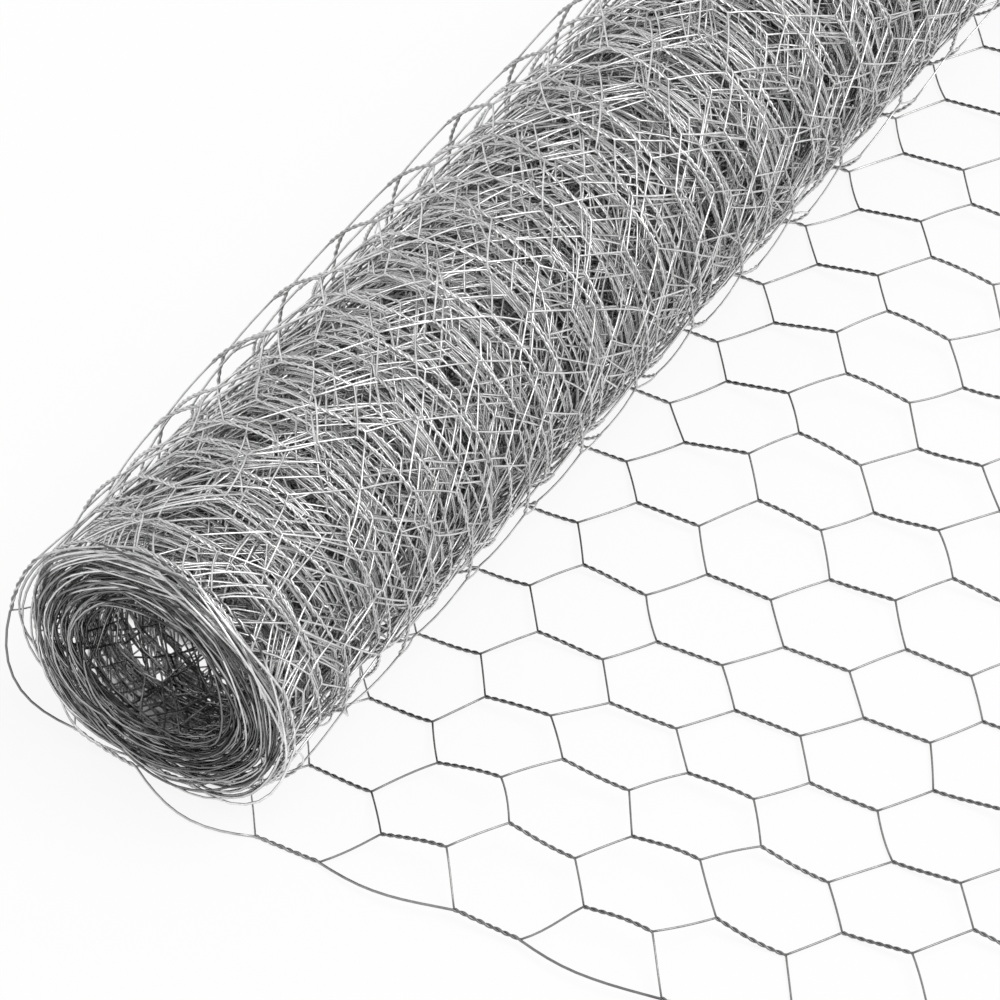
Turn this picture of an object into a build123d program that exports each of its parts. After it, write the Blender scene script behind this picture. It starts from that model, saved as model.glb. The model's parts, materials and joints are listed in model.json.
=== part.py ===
from build123d import *
from math import cos, hypot, radians, sin, tan
import os

# A roll of galvanised hexagonal wire netting. It lies on its side, with the free end of the
# netting unrolled flat on the floor. +Y runs along the roll, +X along the unrolled end, +Z is up,
# and the origin is on the floor under the middle of the whole.

# Netting: each cell has two long sides of twisted wire pairs and four short sides of single wire.
netting_width = 900.0
mesh_size = 50.0
twist_length = 35.0
row_pitch = 52.5
wire_diameter = 1.0

# Unrolled end: it runs off a little askew, so that one selvedge slips past the end of the roll.
# Its rows of twists are counted from the one that the roll lies on.
tail_rows = 8
first_row_ahead = 22.2
askew_angle = 4.1
edge_slip = 14.5
seat_clearance = 0.2

# Wound roll. Its ends show the turns as a spiral groove, one turn of groove for a few of netting.
roll_diameter = 140.0
bore_diameter = 77.0
turn_pitch = 0.6
turns_per_groove = 8
groove_width = 1.5
groove_depth = 6.0

# Sizes that follow from these.
columns = round(netting_width / mesh_size)
column_pitch = netting_width / columns
twist_width = 2 * wire_diameter
groove_pitch = turns_per_groove * turn_pitch
roll_radius = roll_diameter / 2
bore_radius = bore_diameter / 2
seat_reach = twist_length / 2
tail_start = first_row_ahead - row_pitch
tail_end = first_row_ahead + tail_rows * row_pitch + twist_length / 2
tail_length = tail_end - tail_start

# Places, about the middle of the whole: the roll's axis, and the near corner of the unrolled end.
askew = radians(askew_angle)
axis_x = (roll_radius - tail_end * cos(askew)) / 2
axis_z = twist_width + seat_clearance + roll_radius
corner_y = (seat_reach * tan(askew) - tail_end * sin(askew) - netting_width * cos(askew)) / 2
roll_y = corner_y + edge_slip + netting_width / 2
tail_plane = Plane((axis_x, corner_y, 0), (cos(askew), sin(askew), 0), (0, 0, 1))


def places_across(row, half_step):
    """Places in one row, a column apart from edge to edge, or half a column over."""
    count = columns if half_step else columns + 1
    start = (column_pitch if half_step else 0) / 2
    return [(first_row_ahead + row * row_pitch, start + step * column_pitch) for step in range(count)]


def opening_outline():
    """Corners of one hexagonal opening about its middle, clear of the wires round it."""
    half_column = column_pitch / 2
    slant_run = row_pitch - twist_length
    slant = hypot(slant_run, half_column)
    tip = row_pitch - twist_length / 2 - wire_diameter / 2 * slant / half_column
    side = half_column - twist_width / 2
    corner = tip - slant_run * side / half_column
    return [(tip, 0), (corner, side), (-corner, side), (-tip, 0), (-corner, -side), (corner, -side)]


def spiral_edge(first_radius, half_turns):
    """Half circles about two centres in turn, each half a groove pitch larger than the last."""
    step = groove_pitch / 2
    arcs = []
    for half_turn in range(half_turns):
        odd = half_turn % 2
        centre = step / 2 if odd else -step / 2
        arcs.append(CenterArc((centre, 0), first_radius + half_turn * step, 180 * odd, 180))
    return arcs[0] @ 0, arcs[-1] @ 1


# Twists of odd rows reach the two selvedges, and those of even rows lie half a column in.
rows = range(-1, tail_rows + 1)
cells = [place for row in rows for place in places_across(row, half_step=row % 2 == 1)]
twist_places = [place for row in rows for place in places_across(row, half_step=row % 2 == 0)]
edge_inset = twist_width / 2
twists = [(x, max(edge_inset, min(netting_width - edge_inset, y))) for x, y in twist_places]

# Unrolled end: one sheet of netting, with the twisted sides twice as thick as the single wires.
# It is cut off straight along the roll, just behind the line that the roll lies on.
tail_middle = (tail_start + tail_length / 2, netting_width / 2)
with BuildPart() as unrolled_end:
    with BuildSketch(tail_plane):
        with Locations(tail_middle):
            Rectangle(tail_length, netting_width)
        with Locations(*cells):
            Polygon(*opening_outline(), mode=Mode.SUBTRACT)
        with Locations(tail_middle):
            with GridLocations(0, netting_width - wire_diameter, 1, 2):
                Rectangle(tail_length, wire_diameter)
    extrude(amount=wire_diameter)
    with BuildSketch(tail_plane):
        with Locations(*twists):
            Rectangle(twist_length, twist_width)
    extrude(amount=twist_width)
    split(bisect_by=Plane((axis_x - seat_reach, 0, 0), (0, 1, 0), (1, 0, 0)), keep=Keep.TOP)
unrolled_end.part.label = "unrolled_end"

# Wound roll: a turned body with its bore, and a spiral groove between the turns on both ends.
ridge = groove_pitch - groove_width
groove_start = bore_radius + ridge + groove_pitch / 4
groove_room = roll_radius - ridge - groove_width - groove_start
half_turns = int(2 * groove_room / groove_pitch)
with BuildPart() as wound_roll:
    with BuildSketch(Plane.XY.offset(axis_z)):
        with Locations((axis_x + (bore_radius + roll_radius) / 2, roll_y)):
            Rectangle(roll_radius - bore_radius, netting_width)
    revolve(axis=Axis((axis_x, roll_y, axis_z), (0, 1, 0)))
    for end in (-1, 1):
        end_y = roll_y + end * netting_width / 2
        end_plane = Plane((axis_x, end_y, axis_z), (1, 0, 0), (0, -1, 0))
        with BuildSketch(end_plane):
            with BuildLine():
                inner_start, inner_end = spiral_edge(groove_start, half_turns)
                outer_start, outer_end = spiral_edge(groove_start + groove_width, half_turns)
                Line(inner_start, outer_start)
                Line(inner_end, outer_end)
            make_face()
        extrude(amount=end * groove_depth, mode=Mode.SUBTRACT)
wound_roll.part.label = "wound_roll"

os.makedirs("parts", exist_ok=True)
export_step(unrolled_end.part, "parts/unrolled_end.step")
export_step(wound_roll.part, "parts/wound_roll.step")
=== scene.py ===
import json
import math

import bpy
import numpy as np
from mathutils import Matrix, Vector


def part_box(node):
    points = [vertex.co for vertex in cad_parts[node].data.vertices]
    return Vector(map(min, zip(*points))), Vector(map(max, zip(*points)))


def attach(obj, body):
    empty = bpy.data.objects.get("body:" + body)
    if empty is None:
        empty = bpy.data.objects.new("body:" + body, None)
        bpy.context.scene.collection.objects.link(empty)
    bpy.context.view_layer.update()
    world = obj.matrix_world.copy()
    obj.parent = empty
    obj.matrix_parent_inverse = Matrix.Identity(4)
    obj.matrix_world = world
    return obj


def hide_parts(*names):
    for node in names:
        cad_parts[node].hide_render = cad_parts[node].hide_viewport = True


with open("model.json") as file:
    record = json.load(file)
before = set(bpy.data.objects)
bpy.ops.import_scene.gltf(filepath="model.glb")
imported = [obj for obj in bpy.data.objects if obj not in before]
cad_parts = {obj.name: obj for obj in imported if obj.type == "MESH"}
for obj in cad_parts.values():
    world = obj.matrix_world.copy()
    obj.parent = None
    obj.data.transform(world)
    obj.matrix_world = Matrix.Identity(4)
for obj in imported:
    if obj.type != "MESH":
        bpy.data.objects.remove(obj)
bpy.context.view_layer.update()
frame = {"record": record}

# The frame's own sizes, in metres.
roll_low, roll_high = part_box("wound_roll")
AXIS_X = (roll_low.x + roll_high.x) / 2
ROLL_Y = (roll_low.y + roll_high.y) / 2
ROLL_RADIUS = (roll_high.x - roll_low.x) / 2
WIDTH = roll_high.y - roll_low.y
BORE_RADIUS = frame["record"]["mounts"][0]["dims"]["r_mm"] / 1000

# Netting: 50 mm mesh, with the twisted sides running along the sheet.
COLUMNS = 18
MESH = WIDTH / COLUMNS
TWIST = 0.035
ROW = 0.0525
WIRE = 0.0010
SELVEDGE_WIRE = 0.0012
TWIST_TURNS = 4
TAIL_ROWS = 8
SLANT_BOW = 0.0007

# Selvedges: plain wires that bow out between their wraps, each stretch with a shade of its own.
BULGE_LEAST = 0.0040
BULGE_MORE = 0.0030
BULGE_OFF_ROLL = (0.004, -0.1, 0.18)
SELVEDGE_LIFT = 0.0010
SELVEDGE_SAMPLES = 8
SELVEDGE_SIDES_LEAST = 4
SELVEDGE_SHADE_LEAST = 0.2
SELVEDGE_SHADE_MORE = 1.5
SELVEDGE_SHADE_POWER = 1.4

# Winding: the roll has sagged a little under its own weight.
TURNS = 52
STEPS_A_TURN = 240
SAG_WIDE = 1.045
SAG_BELOW = 0.97
SAG_ABOVE = 1.05
LAY_HEIGHT = 0.0011
LEAST_HEIGHT = 0.6 * WIRE
OUTER_RADIUS = ROLL_RADIUS - WIRE / 2
INNER_RADIUS = BORE_RADIUS + WIRE / 2

# Loose outer turns: how far each stands off, at what angle turned, and how far round to either side.
LOOSE_LEFT = (0.0115, math.radians(112), math.radians(105))
LOOSE_RIGHT = (0.006, math.radians(315), math.radians(45))
LOOSE_SECOND = (0.0065, math.radians(475), math.radians(100))
LOOSE_THIRD = (0.0035, math.radians(835), math.radians(100))
LOOSE_FOURTH = (0.0015, math.radians(1195), math.radians(100))
LOOSE_RISE = 0.16
LEFT_END_SHARE = 0.30
DEEPER_END_SHARE = 0.2

# The unrolled end runs off a little askew, and straightens out again under the roll, within a turn.
SKEW = math.radians(4.1)
EDGE_SLIP = 0.0145
FIRST_ROW_AHEAD = 0.0222
SKEW_FADE = 0.2
SIDE_FADE = 0.2

# Drawing on and holding back of the first turn's rows, and of the near selvedge beside them.
EDGE_REACH = 0.10
EDGE_DRAWN_IN = 0.0075
DRAWN_IN_REACH = 0.09
ROWS_DRAWN_ON = 0.028
DRAWN_ON_RUN = 0.12
ROWS_HELD_BACK = 0.030
EDGE_HELD_BACK = 0.036
HELD_BACK_START = 0.16
HELD_BACK_RUN = 0.25

# Ridges of the unrolled end: the height, the place along the sheet and the reach of each.
NEAR_RIDGES = [(0.017, 0.13, 0.075), (0.015, 0.215, 0.065)]
NEAR_RIDGES_ACROSS = (0.045, 0.16)
SELVEDGE_DIP_SHARE = 0.4
SELVEDGE_DIP_RUN = 0.025
MIDDLE_RIDGES = [(0.012, 0.14, 0.075), (0.009, 0.235, 0.06)]
MIDDLE_RISE = (0.22, 0.14)
MIDDLE_FALL = (0.47, 0.12)
MIDDLE_FALL_SHARE = 0.6
LOW_RIDGE = (0.004, 0.085, 0.04)
LOW_RIDGE_ACROSS = (0.2, 0.13)
WAVE_HEIGHT = 0.005
WAVE_TOP = 0.135
WAVE_LENGTH = 2 * ROW
WAVES_RISE = (0.26, 0.06)
RIPPLES_RISE = (0.03, 0.05)

# How each twist strays: along, across and off the sheet, and its lean. Deep ones stray more.
STRAY = np.array([0.0014, 0.0011, 0.0004, 0.04])
UNROLLED_STRAY_SHARE = 0.6
DEEP_ROWS_BELOW = -120
DEEP_STRAY_TIMES = 5

# How the sheet is pulled over a hand's length: along, across and off it, and along the roll.
KNOT = 0.16
PULL = np.array([0.012, 0.013, 0.0007, 0.0016])
UNROLLED_PULL_SHARE = 0.05
SETTLING = (0.05, 0.5)
SELVEDGE_HOLD = 0.05

# Zinc: shades and roughness of its grain, and the painted shade that darkens it in the bore, below it and
# unrolled.
PATCH_SCALE = 60.0
PATCH_DETAIL = 4.0
PATCH_SHARE = 0.6
SPANGLE_SCALE = 420.0
GRAIN_SHADES = (0.515, 1.065)
GRAIN_ROUGHNESS = (0.32, 0.20)
BORE_PAINTED_SHADE = 0.66
BORE_DEPTHS = (0.040, 0.060)
BELOW_PAINTED_SHADE = 0.70
BELOW_HEIGHTS = (0.03, -0.02)
BELOW_DEPTHS = (0.072, 0.050)
UNROLLED_PAINTED_SHADE = 0.36
UNROLLED_DEPTHS = (0.074, 0.100)

# Floor: its size and colour, and the share of it that shows as plain white.
FLOOR_REACH = 40.0
FLOOR_COLOUR = (0.96, 0.96, 0.96, 1)
FLOOR_WHITE_SHARE = 0.88

# Band of floor under and close behind the roll that keeps the whole shadow. It tapers at the near end.
BAND_MIDDLE = AXIS_X - 0.040
BAND_MIDDLE_TAPERED = AXIS_X - 0.012
BAND_TAPER = 1.6
BAND_TAPER_RUN = (ROLL_Y - 0.455, ROLL_Y - 0.36)
BAND_SIDES = (0.035, 0.075)
BAND_ENDS = (0.430, 0.448)
BAND_FADE = (ROLL_Y + 0.20, ROLL_Y + 0.46)

# Small patch of the band that stays plain white, painted light in the roll's shadow that shows through the
# gaps in the bore.
GLIMPSE_START = (ROLL_Y - 0.412, ROLL_Y - 0.402)
GLIMPSE_END = (ROLL_Y - 0.372, ROLL_Y - 0.380)
GLIMPSE_SIDES = (0.050, 0.035)

# Light: a broad soft key from above right and behind, in an even surround that shows as plain white.
SURROUND_SEEN = 1.0
SURROUND_LIGHT = 0.62
KEY_ENERGY = 1.35
KEY_SPREAD = math.radians(40)
KEY_FROM = Vector((0.50, 0.15, 0.85))

# Camera at the photograph's viewpoint, with its focal length as a share of the picture's width.
CAMERA_PLACE = Vector((AXIS_X + 1.0788, ROLL_Y - 1.8442, 1.8711))
VIEW_AZIMUTH = math.radians(32.70)
VIEW_ELEVATION = math.radians(43.98)
FOCAL_SHARE = 5.537
SENSOR_WIDTH = 36.0
FARTHEST_SEEN = 200.0

rng = np.random.default_rng(7)


def smooth_step(x):
    """Smooth rise from 0 at 0 to 1 at 1."""
    x = np.clip(x, 0.0, 1.0)
    return x * x * (3 - 2 * x)


def rise(x, start, run):
    """Smooth rise from 0 at its start to 1 at the end of its run."""
    return smooth_step((x - start) / run)


def bump(x, centre, reach):
    """A smooth hill of height 1 at its centre and 0 beyond its reach."""
    return 0.5 + 0.5 * np.cos(np.pi * np.clip((x - centre) / reach, -1, 1))


def hills(x, *shapes):
    """Sum of smooth hills, each given by its height, centre and reach."""
    return sum(height * bump(x, centre, reach) for height, centre, reach in shapes)


# Path of the wound sheet, from the floor under the axis inward, by the angle it has turned.
angle = np.linspace(0, 2 * np.pi * TURNS, TURNS * STEPS_A_TURN)
radius = OUTER_RADIUS + (INNER_RADIUS - OUTER_RADIUS) * angle / angle[-1]
AXIS_Z = LAY_HEIGHT + OUTER_RADIUS * SAG_BELOW
sag_high = (SAG_ABOVE + SAG_BELOW) / 2 - (SAG_ABOVE - SAG_BELOW) / 2 * np.cos(angle)
path_x = AXIS_X - radius * SAG_WIDE * np.sin(angle)
path_z = AXIS_Z - radius * sag_high * np.cos(angle)
path_s = np.concatenate([[0], np.cumsum(np.hypot(np.diff(path_x), np.diff(path_z)))])

# Rows of twists along the whole sheet, with one to spare at each end.
FIRST_ROW = -int((path_s[-1] - TWIST) / ROW)
ALL_ROWS = np.arange(FIRST_ROW - 1, TAIL_ROWS + 2)

# Seeded strays of the twists, and seeded pulls at the knots of a coarse grid on the sheet.
stray = rng.normal(size=(len(ALL_ROWS), COLUMNS + 1, 4)) * STRAY
stray[ALL_ROWS >= 0] *= UNROLLED_STRAY_SHARE
stray[ALL_ROWS < DEEP_ROWS_BELOW, 1:-1, :2] *= DEEP_STRAY_TIMES
knots_along = int((TAIL_ROWS + 2 - ALL_ROWS[0]) * ROW / KNOT) + 3
knots_across = int(WIDTH / KNOT) + 3
knots = rng.normal(size=(knots_along, knots_across, 4))


def pulled(u, v):
    """The pull at places on the sheet, smooth between the knots."""
    a = (u - ALL_ROWS[0] * ROW) / KNOT
    b = np.clip((v + WIDTH / 2) / KNOT, 0, None)
    i = np.clip(a.astype(int), 0, knots.shape[0] - 2)
    j = np.clip(b.astype(int), 0, knots.shape[1] - 2)
    s = smooth_step(a - i)[..., None]
    t = smooth_step(b - j)[..., None]
    near = knots[i, j] * (1 - s) + knots[i + 1, j] * s
    far = knots[i, j + 1] * (1 - s) + knots[i + 1, j + 1] * s
    return (near * (1 - t) + far * t) * PULL


def loose(turned, v):
    """How far the outer turns stand off the roll, by the angle they have turned."""
    along = rise(v + WIDTH / 2, 0, LOOSE_RISE)
    left = hills(turned, LOOSE_LEFT) * (LEFT_END_SHARE + (1 - LEFT_END_SHARE) * along)
    right = hills(turned, LOOSE_RIGHT)
    deeper = hills(turned, LOOSE_SECOND, LOOSE_THIRD, LOOSE_FOURTH)
    return left + right + deeper * (DEEPER_END_SHARE + (1 - DEEPER_END_SHARE) * along)


def ripple(u, v):
    """Height of the unrolled sheet: ridges by the near selvedge and the middle, and low waves beyond."""
    across = v + WIDTH / 2
    dip = SELVEDGE_DIP_SHARE + (1 - SELVEDGE_DIP_SHARE) * rise(across, 0, SELVEDGE_DIP_RUN)
    near = bump(across, *NEAR_RIDGES_ACROSS) * dip
    middle = rise(across, *MIDDLE_RISE) * (1 - MIDDLE_FALL_SHARE * rise(across, *MIDDLE_FALL))
    waves = 0.5 + 0.5 * np.cos(2 * np.pi * (u - WAVE_TOP) / WAVE_LENGTH)
    height = near * hills(u, *NEAR_RIDGES)
    height += middle * hills(u, *MIDDLE_RIDGES)
    height += hills(u, LOW_RIDGE) * bump(across, *LOW_RIDGE_ACROSS)
    height += WAVE_HEIGHT * rise(u, *WAVES_RISE) * waves
    return height * rise(u, *RIPPLES_RISE)


def to_space(u, v, h):
    """Places of points given along, across and off the sheet, with the sheet's normal there."""
    settled = rise(-u, *SETTLING)
    within = rise(WIDTH / 2 - np.abs(v), 0, SELVEDGE_HOLD)
    pull = pulled(u, v)
    pull_share = UNROLLED_PULL_SHARE + (1 - UNROLLED_PULL_SHARE) * settled
    flat_u = u + FIRST_ROW_AHEAD + pull_share * pull[..., 0]
    flat_v = v + WIDTH / 2 + pull_share * within * pull[..., 1]
    laid_x = flat_u * math.cos(SKEW) - flat_v * math.sin(SKEW)
    laid_y = flat_u * math.sin(SKEW) + flat_v * math.cos(SKEW) - EDGE_SLIP
    skewed = flat_u + (laid_x - flat_u) * smooth_step(1 + u / SKEW_FADE)
    edge = 1 - rise(v + WIDTH / 2, 0, EDGE_REACH)
    skewed -= ROWS_DRAWN_ON * (1 - edge) * rise(-u, 0, DRAWN_ON_RUN)
    held_back = ROWS_HELD_BACK + (EDGE_HELD_BACK - ROWS_HELD_BACK) * edge
    skewed += held_back * rise(-u, HELD_BACK_START, HELD_BACK_RUN)
    wound = skewed < 0
    turned = np.interp(-skewed, path_s, angle)
    off = loose(turned, v) - h + settled * pull[..., 2]
    inward_x = np.where(wound, np.sin(turned), 0.0)
    inward_z = np.where(wound, np.cos(turned), 1.0)
    wound_x = np.interp(-skewed, path_s, path_x) - inward_x * off
    wound_z = np.interp(-skewed, path_s, path_z) - inward_z * off
    wound_y = flat_v + settled * pull[..., 3]
    x = np.where(wound, wound_x, AXIS_X + skewed)
    z = np.where(wound, wound_z, LAY_HEIGHT + ripple(u, v) + h)
    y = ROLL_Y - WIDTH / 2 + wound_y + (laid_y - wound_y) * smooth_step(1 + skewed / SIDE_FADE)
    y += EDGE_DRAWN_IN * edge * bump(u, -ROW, DRAWN_IN_REACH)
    places = np.stack([x, y, np.maximum(z, LEAST_HEIGHT)], -1)
    normals = np.stack([inward_x, np.zeros_like(inward_x), inward_z], -1)
    return places, normals


def twist_run(rows, wires, samples):
    """Points of each wire through its twist in each row, as along, across and off the sheet."""
    row, wire = np.meshgrid(rows, wires)
    odd = row % 2
    place = (wire + odd) // 2
    lower = (wire + odd) % 2 == 0
    across = -WIDTH / 2 + MESH * np.where(odd, place, place + 0.5)
    wander = stray[row - ALL_ROWS[0], np.clip(place, 0, COLUMNS)]
    step = np.linspace(0, 1, samples)
    spin = np.where(lower, np.pi, 0.0)[..., None] + 2 * np.pi * TWIST_TURNS * step
    along = (step - 0.5) * TWIST
    u = (row * ROW + wander[..., 0])[..., None] + along
    v = (across + wander[..., 1])[..., None] + wander[..., 3:4] * along + WIRE / 2 * np.cos(spin)
    h = wander[..., 2:3] + WIRE / 2 * np.sin(spin)
    return np.stack([u, v, h], -1)


def mesh_wires(rows, samples, slant_samples, twist_painted_shade, spread):
    """Points and shades of every mesh wire over some rows: a twist, then the slant to the next one, with
    painted shade on the twists and a random tone for each wire and row.
    """
    wires = np.arange(2 * COLUMNS)
    runs = twist_run(np.append(rows, rows[-1] + 1), wires, samples)
    start = runs[:, :-1, -1]
    end = runs[:, 1:, 0]
    step = np.linspace(0, 1, slant_samples + 2)[1:-1, None]
    slants = start[:, :, None] * (1 - step) + end[:, :, None] * step
    bow = rng.normal(size=slants.shape[:2]) * SLANT_BOW
    slants[..., 1] += bow[..., None] * 4 * (step * (1 - step))[:, 0]
    lines = np.concatenate([runs[:, :-1], slants], 2).reshape(len(wires), -1, 3)
    tones = 1 + spread * rng.uniform(-1, 1, size=(len(wires), len(rows), 1))
    # Painted shade darkens each twist, where the two wires wind round each other; the tones differ at
    # random.
    shades = (tones * np.repeat([twist_painted_shade, 1.0], [samples, slant_samples])).reshape(len(wires), -1)
    if rows[-1] == TAIL_ROWS:
        return lines[:, :-slant_samples], shades[:, :-slant_samples]
    return np.concatenate([lines, runs[:, -1, :1]], 1), np.concatenate([shades, shades[:, :1]], 1)


def selvedge_wires(rows, samples, shade):
    """Points and shades of the two edge wires: a wrap in each odd row, then a bow to the next one, with a
    painted shade and a random tone for each stretch.
    """
    odd_rows = rows[rows % 2 == 1]
    odd_rows = np.append(odd_rows, odd_rows[-1] + 2)
    odd_rows = odd_rows[odd_rows <= ALL_ROWS[-1]]
    runs = twist_run(odd_rows, np.array([-1, 2 * COLUMNS]), samples)
    start = runs[:, :-1, -1]
    end = runs[:, 1:, 0]
    step = np.linspace(0, 1, SELVEDGE_SAMPLES + 2)[1:-1]
    arcs = start[:, :, None] * (1 - step[:, None]) + end[:, :, None] * step[:, None]
    swell = np.sin(np.pi * step)
    bulge = BULGE_LEAST + BULGE_MORE * rng.random(size=arcs.shape[:2])
    bulge[0] += hills(odd_rows[:-1] * ROW, BULGE_OFF_ROLL)
    lift = rng.normal(size=arcs.shape[:2]) * SELVEDGE_LIFT
    arcs[..., 1] += np.array([-1, 1])[:, None, None] * bulge[..., None] * swell
    arcs[..., 2] += lift[..., None] * swell
    lines = np.concatenate([runs[:, :-1], arcs], 2).reshape(2, -1, 3)
    if rows[-1] == TAIL_ROWS:
        lines = lines[:, :np.searchsorted(lines[0, :, 0], TAIL_ROWS * ROW + TWIST / 2)]
    else:
        lines = np.concatenate([lines, runs[:, -1, :1]], 1)
    length = lines.shape[1]
    stretch = samples + SELVEDGE_SAMPLES
    chance = rng.random((2, length // stretch + 1))
    shades = SELVEDGE_SHADE_LEAST + SELVEDGE_SHADE_MORE * chance ** SELVEDGE_SHADE_POWER
    # The given shade is painted shade on the selvedges; each stretch also differs in tone at random.
    return lines, shade * np.repeat(shades, stretch, axis=1)[:, :length]


def tubes(lines, shades, thickness, sides):
    """Vertices, quads, end caps and shades of round tubes along lines of points on the sheet."""
    places, normals = to_space(lines[..., 0], lines[..., 1], lines[..., 2])
    tangents = np.gradient(places, axis=1)
    tangents /= np.linalg.norm(tangents, axis=-1, keepdims=True)
    across = np.cross(tangents, normals)
    across /= np.linalg.norm(across, axis=-1, keepdims=True)
    raised = np.cross(across, tangents)
    turn = 2 * np.pi * np.arange(sides) / sides
    ring = np.cos(turn)[:, None] * raised[..., None, :] + np.sin(turn)[:, None] * across[..., None, :]
    corner_radius = thickness / 2 * np.pi / (sides * np.sin(np.pi / sides))
    verts = places[..., None, :] + corner_radius * ring
    count, length = lines.shape[:2]
    index = np.arange(count * length * sides).reshape(count, length, sides)
    after = np.roll(index, -1, axis=2)
    quads = np.stack([index[:, :-1], after[:, :-1], after[:, 1:], index[:, 1:]], -1)
    caps = np.concatenate([index[:, 0, ::-1], index[:, -1]])
    return verts.reshape(-1, 3), quads.reshape(-1, 4), caps, np.repeat(shades, sides, axis=1).ravel()


def wire_object(name, bundles, material):
    """One mesh object from several bundles of tubes."""
    verts, shades, corners, sizes = [], [], [], []
    first = 0
    for bundle_verts, quads, caps, bundle_shades in bundles:
        verts.append(bundle_verts)
        shades.append(bundle_shades)
        corners += [(quads + first).ravel(), (caps + first).ravel()]
        sizes += [np.full(len(quads), 4), np.full(len(caps), caps.shape[1])]
        first += len(bundle_verts)
    corners = np.concatenate(corners)
    sizes = np.concatenate(sizes)
    starts = np.concatenate([[0], np.cumsum(sizes)[:-1]])
    mesh = bpy.data.meshes.new(name)
    mesh.vertices.add(first)
    mesh.vertices.foreach_set("co", np.concatenate(verts).astype(np.float32).ravel())
    mesh.loops.add(len(corners))
    mesh.loops.foreach_set("vertex_index", corners.astype(np.int32))
    mesh.polygons.add(len(sizes))
    mesh.polygons.foreach_set("loop_start", starts.astype(np.int32))
    mesh.polygons.foreach_set("loop_total", sizes.astype(np.int32))
    mesh.polygons.foreach_set("use_smooth", np.ones(len(sizes), bool))
    mesh.update(calc_edges=True)
    # The shade attribute holds each wire's painted shade of twists and selvedges, times its random tone.
    shade = mesh.attributes.new("shade", "FLOAT", "POINT")
    shade.data.foreach_set("value", np.concatenate(shades).astype(np.float32))
    mesh.materials.append(material)
    piece = bpy.data.objects.new(name, mesh)
    bpy.context.scene.collection.objects.link(piece)
    return piece


def worked_out(tree, operation, *values):
    """Output of a maths node fed with numbers or other outputs."""
    node = tree.nodes.new("ShaderNodeMath")
    node.operation = operation
    for socket, value in zip(node.inputs, values):
        if isinstance(value, (int, float)):
            socket.default_value = value
        else:
            tree.links.new(value, socket)
    return node.outputs[0]


def between(tree, share, start, end):
    """Output that goes from one number to another as a share goes from 0 to 1."""
    return worked_out(tree, "MULTIPLY_ADD", share, end - start, start)


def eased(tree, value, low, high):
    """Output that rises smoothly from 0 at one value to 1 at another."""
    node = tree.nodes.new("ShaderNodeMapRange")
    node.interpolation_type = "SMOOTHSTEP"
    node.inputs["From Min"].default_value = low
    node.inputs["From Max"].default_value = high
    tree.links.new(value, node.inputs["Value"])
    return node.outputs["Result"]


def rays_that_see(tree):
    """Output that is 1 for rays that see a surface, straight or mirrored, and 0 for those that light."""
    rays = tree.nodes.new("ShaderNodeLightPath")
    seen = worked_out(tree, "MAXIMUM", rays.outputs["Is Camera Ray"], rays.outputs["Is Glossy Ray"])
    return worked_out(tree, "MAXIMUM", seen, rays.outputs["Is Transmission Ray"])


def zinc_grain(tree, place):
    """Output of a patchy grey with fine spangle."""
    patches = tree.nodes.new("ShaderNodeTexNoise")
    patches.inputs["Scale"].default_value = PATCH_SCALE
    patches.inputs["Detail"].default_value = PATCH_DETAIL
    spangle = tree.nodes.new("ShaderNodeTexVoronoi")
    spangle.inputs["Scale"].default_value = SPANGLE_SCALE
    tree.links.new(place, patches.inputs["Vector"])
    tree.links.new(place, spangle.inputs["Vector"])
    patch_part = worked_out(tree, "MULTIPLY", patches.outputs["Fac"], PATCH_SHARE)
    spangle_part = worked_out(tree, "MULTIPLY", spangle.outputs["Color"], 1 - PATCH_SHARE)
    return worked_out(tree, "ADD", patch_part, spangle_part)


def galvanised_wire():
    """Dull silver zinc, with painted shade that darkens it in the bore, below it and on the unrolled end,
    and with each wire's tone and painted shade.
    """
    material = bpy.data.materials.new("galvanised_wire")
    material.use_nodes = True
    tree = material.node_tree
    shader = tree.nodes["Principled BSDF"]
    shader.inputs["Metallic"].default_value = 1.0
    place = tree.nodes.new("ShaderNodeTexCoord").outputs["Object"]
    spot = tree.nodes.new("ShaderNodeSeparateXYZ")
    tree.links.new(place, spot.inputs[0])
    sideways = worked_out(tree, "SUBTRACT", spot.outputs["X"], AXIS_X)
    upward = worked_out(tree, "SUBTRACT", spot.outputs["Z"], AXIS_Z)
    squares = worked_out(tree, "ADD", worked_out(tree, "MULTIPLY", sideways, sideways),
                         worked_out(tree, "MULTIPLY", upward, upward))
    from_axis = worked_out(tree, "SQRT", squares)
    # Painted shade in the lower half of the roll, deepest towards the axis.
    below_shade_share = worked_out(tree, "MULTIPLY", eased(tree, upward, *BELOW_HEIGHTS),
                             eased(tree, from_axis, *BELOW_DEPTHS))
    # Painted shade in the bore: the inner turns are darker.
    bore_painted_shade = between(tree, eased(tree, from_axis, *BORE_DEPTHS), BORE_PAINTED_SHADE, 1.0)
    below_painted_shade = between(tree, below_shade_share, 1.0, BELOW_PAINTED_SHADE)
    # Painted shade on the unrolled end: its zinc is darker than on the roll.
    unrolled = between(tree, eased(tree, from_axis, *UNROLLED_DEPTHS), 1.0, UNROLLED_PAINTED_SHADE)
    # Each wire's painted shade and random tone, from its shade attribute.
    wire_tone_and_painted_shade = tree.nodes.new("ShaderNodeAttribute")
    wire_tone_and_painted_shade.attribute_name = "shade"
    grain = zinc_grain(tree, place)
    level = between(tree, grain, *GRAIN_SHADES)
    for part in (bore_painted_shade, below_painted_shade, unrolled, wire_tone_and_painted_shade.outputs["Fac"]):
        level = worked_out(tree, "MULTIPLY", level, part)
    tree.links.new(level, shader.inputs["Base Color"])
    tree.links.new(between(tree, grain, *GRAIN_ROUGHNESS), shader.inputs["Roughness"])
    return material


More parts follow.
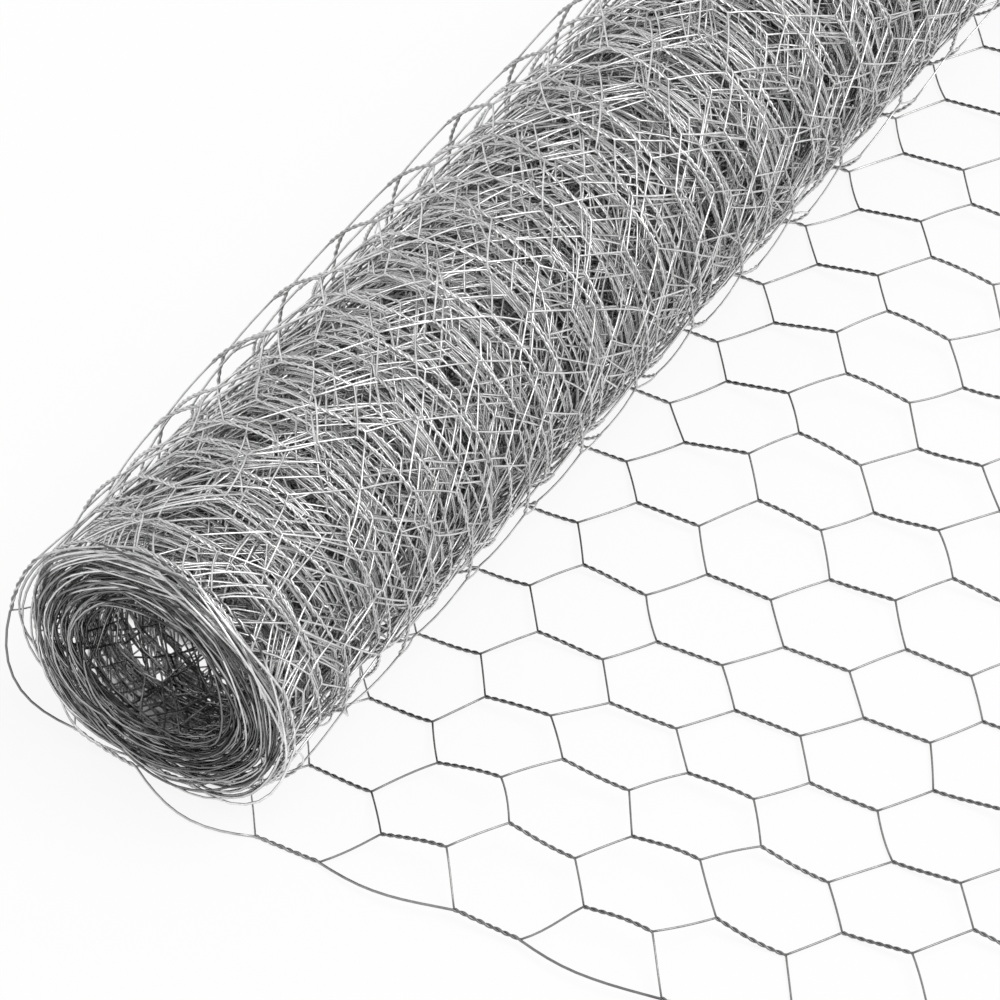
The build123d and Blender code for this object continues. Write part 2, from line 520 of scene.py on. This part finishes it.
def plain_white(tree):
    """Output that is 1 where the floor may show as plain white, and 0 in the band by the roll but for a
    patch of painted light.
    """
    spot = tree.nodes.new("ShaderNodeSeparateXYZ")
    tree.links.new(tree.nodes.new("ShaderNodeNewGeometry").outputs["Position"], spot.inputs[0])
    along = spot.outputs["Y"]
    full = eased(tree, along, *BAND_TAPER_RUN)
    middle = between(tree, full, BAND_MIDDLE_TAPERED, BAND_MIDDLE)
    aside = worked_out(tree, "ABSOLUTE", worked_out(tree, "SUBTRACT", spot.outputs["X"], middle))
    beside = worked_out(tree, "MULTIPLY", aside, between(tree, full, BAND_TAPER, 1.0))
    beyond = worked_out(tree, "ABSOLUTE", worked_out(tree, "SUBTRACT", along, ROLL_Y))
    # Painted light: a patch under the roll's near end stays white in its shadow.
    painted_light_patch = eased(tree, beside, *GLIMPSE_SIDES)
    for part in (eased(tree, along, *GLIMPSE_START), eased(tree, along, *GLIMPSE_END)):
        painted_light_patch = worked_out(tree, "MULTIPLY", painted_light_patch, part)
    white = eased(tree, beside, *BAND_SIDES)
    for part in (eased(tree, beyond, *BAND_ENDS), painted_light_patch, eased(tree, along, *BAND_FADE)):
        white = worked_out(tree, "MAXIMUM", white, part)
    return white


def floor_white():
    """Matt white that mostly shows as plain white, and keeps a soft share of the shadow."""
    material = bpy.data.materials.new("floor_white")
    material.use_nodes = True
    tree = material.node_tree
    shader = tree.nodes["Principled BSDF"]
    shader.inputs["Base Color"].default_value = FLOOR_COLOUR
    shader.inputs["Roughness"].default_value = 1.0
    shader.inputs["Specular IOR Level"].default_value = 0.0
    shown = worked_out(tree, "MULTIPLY", plain_white(tree), rays_that_see(tree))
    mix = tree.nodes.new("ShaderNodeMixShader")
    tree.links.new(worked_out(tree, "MULTIPLY", shown, FLOOR_WHITE_SHARE), mix.inputs[0])
    tree.links.new(shader.outputs[0], mix.inputs[1])
    tree.links.new(tree.nodes.new("ShaderNodeEmission").outputs[0], mix.inputs[2])
    tree.links.new(mix.outputs[0], tree.nodes["Material Output"].inputs["Surface"])
    return material


# Pieces of the sheet: rows, samples of twists and slants, sides, painted shade of twists and selvedges,
# spread of tone.
wire_material = galvanised_wire()
stretches = [
    ("netting_unrolled", np.arange(0, TAIL_ROWS + 1), 33, 5, 6, 0.65, 0.6, 0.1),
    ("netting_outer_turn", np.arange(-9, 0), 29, 4, 5, 0.75, 0.7, 0.1),
    ("netting_turns_2_to_3", np.arange(-25, -9), 25, 3, 4, 0.9, 0.7, 0.1),
    ("netting_turns_4_to_8", np.arange(-65, -25), 13, 2, 3, 0.9, 0.65, 0.1),
    ("netting_turns_9_to_20", np.arange(-155, -65), 5, 1, 3, 0.9, 0.65, 0.3),
    ("netting_turns_21_to_36", np.arange(-255, -155), 5, 1, 3, 0.9, 0.65, 0.7),
    ("netting_inner_turns", np.arange(FIRST_ROW, -255), 7, 1, 3, 0.9, 0.65, 0.75),
]
for name, rows, twist_samples, slant_samples, sides, twist_painted_shade, edge_painted_shade, spread in stretches:
    mesh_lines = mesh_wires(rows, twist_samples, slant_samples, twist_painted_shade, spread)
    edge_lines = selvedge_wires(rows, twist_samples, edge_painted_shade)
    mesh_part = tubes(*mesh_lines, WIRE, sides)
    edge_part = tubes(*edge_lines, SELVEDGE_WIRE, max(sides, SELVEDGE_SIDES_LEAST))
    piece = wire_object(name, [mesh_part, edge_part], wire_material)
    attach(piece, "root")
    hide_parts("unrolled_end" if name == "netting_unrolled" else "wound_roll")

# Floor.
floor_mesh = bpy.data.meshes.new("floor")
floor_corners = [(x * FLOOR_REACH, y * FLOOR_REACH, 0) for x, y in ((-1, -1), (1, -1), (1, 1), (-1, 1))]
floor_mesh.from_pydata(floor_corners, [], [(0, 1, 2, 3)])
floor_mesh.materials.append(floor_white())
floor = bpy.data.objects.new("floor", floor_mesh)
bpy.context.scene.collection.objects.link(floor)

# Surround and key light.
world = bpy.data.worlds.new("studio")
world.use_nodes = True
tree = world.node_tree
surround = tree.nodes["Background"]
surround.inputs["Color"].default_value = (1, 1, 1, 1)
surround_level = between(tree, rays_that_see(tree), SURROUND_LIGHT, SURROUND_SEEN)
tree.links.new(surround_level, surround.inputs["Strength"])
bpy.context.scene.world = world
key_light = bpy.data.lights.new("key", "SUN")
key_light.energy = KEY_ENERGY
key_light.angle = KEY_SPREAD
key = bpy.data.objects.new("key", key_light)
bpy.context.scene.collection.objects.link(key)
key.rotation_euler = KEY_FROM.to_track_quat("Z", "Y").to_euler()

# Camera.
back = Vector((math.sin(VIEW_AZIMUTH) * math.cos(VIEW_ELEVATION),
               -math.cos(VIEW_AZIMUTH) * math.cos(VIEW_ELEVATION), math.sin(VIEW_ELEVATION)))
right = Vector((math.cos(VIEW_AZIMUTH), math.sin(VIEW_AZIMUTH), 0))
up = back.cross(right)
lens = bpy.data.cameras.new("camera")
lens.sensor_fit = "HORIZONTAL"
lens.sensor_width = SENSOR_WIDTH
lens.lens = FOCAL_SHARE * SENSOR_WIDTH
lens.clip_end = FARTHEST_SEEN
camera = bpy.data.objects.new("camera", lens)
bpy.context.scene.collection.objects.link(camera)
camera_turn = Matrix((right, up, back)).transposed()
camera.matrix_world = Matrix.Translation(CAMERA_PLACE) @ camera_turn.to_4x4()
bpy.context.scene.camera = camera
bpy.context.scene.view_settings.view_transform = "Standard"
